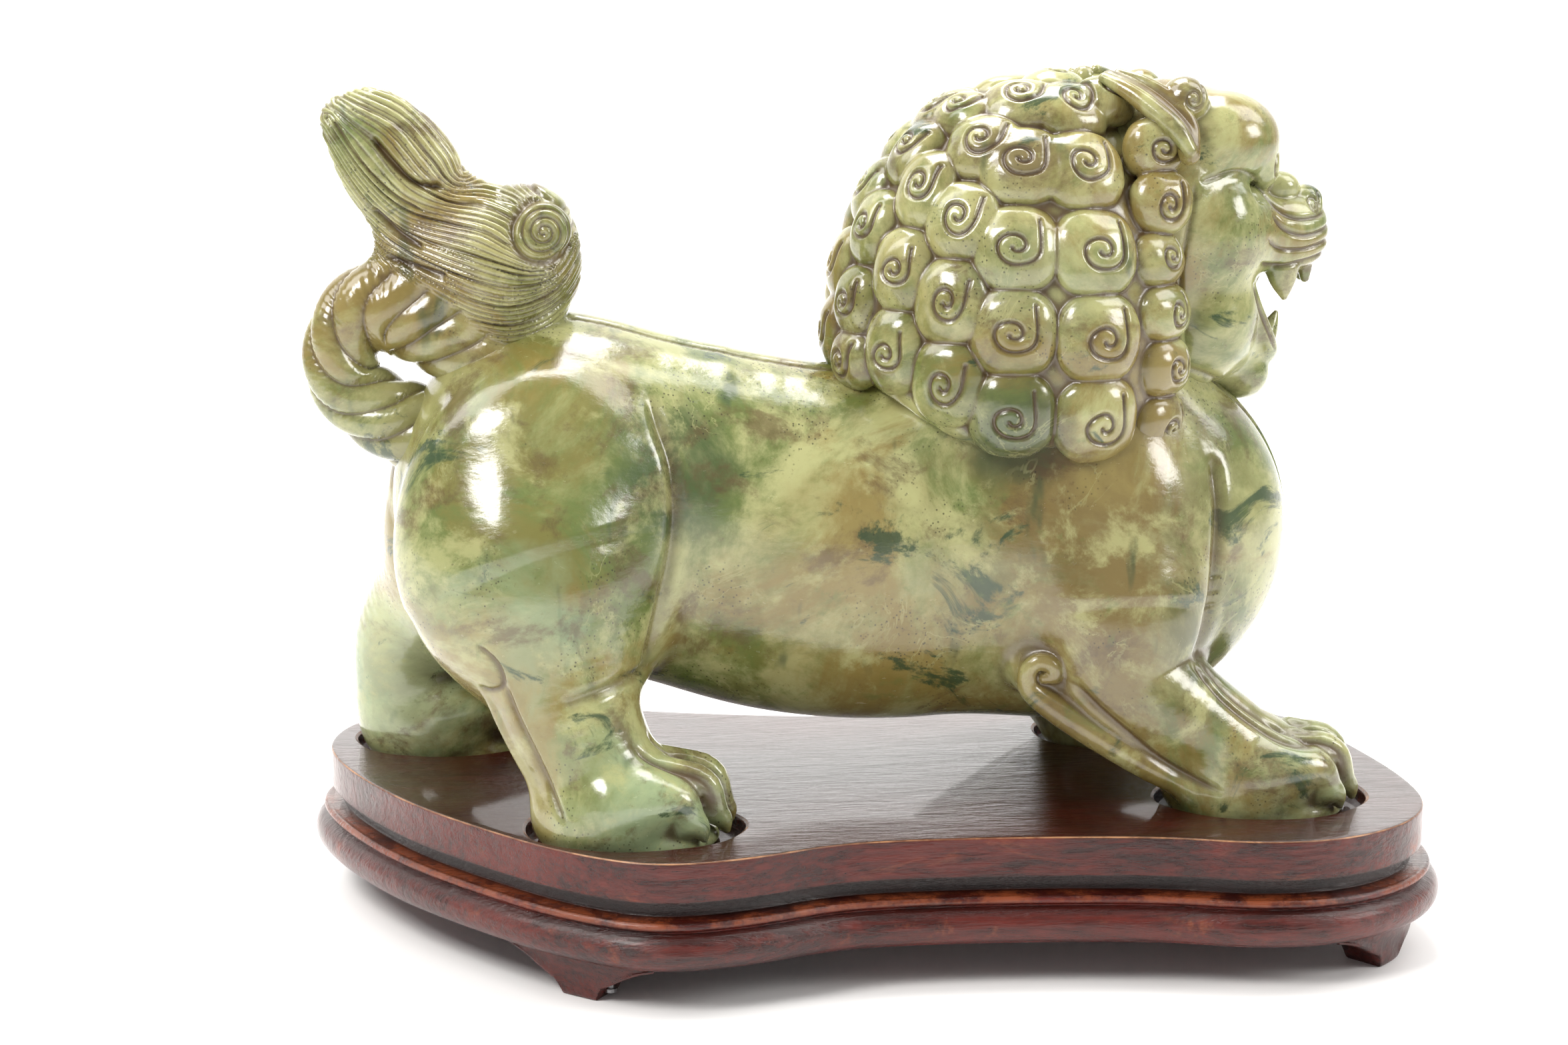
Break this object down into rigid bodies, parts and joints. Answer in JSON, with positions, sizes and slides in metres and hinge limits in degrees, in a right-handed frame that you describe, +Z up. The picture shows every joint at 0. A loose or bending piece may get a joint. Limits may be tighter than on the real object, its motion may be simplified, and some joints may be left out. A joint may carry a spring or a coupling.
{
  "type": "carved stone figurine on a stand",
  "caption": "Carved jade guardian lion with curled mane and upswept tail, striding in the paw sockets of a lobed lacquered hardwood stand on bracket feet.",
  "frame": {"origin": "on the surface that the feet stand on, under the middle of the whole object's box", "axes": "+Z up; +X the way the lion walks, along the stand; -Y the display side, which is the lion's right"},
  "size_m": [0.2544, 0.136, 0.1943],
  "materials": {
    "jade": "polished, mottled green with brown and dark green clouds",
    "lacquered_wood": "dark red-brown gloss lacquer, worn light on the edges",
    "dowel_wood": "bare turned hardwood",
    "brad_steel": "plain drawn wire"
  },
  "bodies": {
    "stand": {"top_panel": "lacquered_wood", "base_moulding": "lacquered_wood", "foot_front_left": "lacquered_wood", "foot_front_right": "lacquered_wood", "foot_back_right": "lacquered_wood", "foot_back_left": "lacquered_wood", "brad_front_left_1": "brad_steel", "brad_front_left_2": "brad_steel", "brad_front_right_1": "brad_steel", "brad_front_right_2": "brad_steel", "brad_back_right_1": "brad_steel", "brad_back_right_2": "brad_steel", "brad_back_left_1": "brad_steel", "brad_back_left_2": "brad_steel", "dowel_1": "dowel_wood", "dowel_2": "dowel_wood", "dowel_3": "dowel_wood", "dowel_4": "dowel_wood"},
    "figure": {"jade_lion": "jade"}
  },
  "joints": [
    {"name": "figure_lift", "type": "slide", "parent": "stand", "child": "figure", "axis": [0, 0, 1], "range_m": [0, 0.03]}
  ]
}
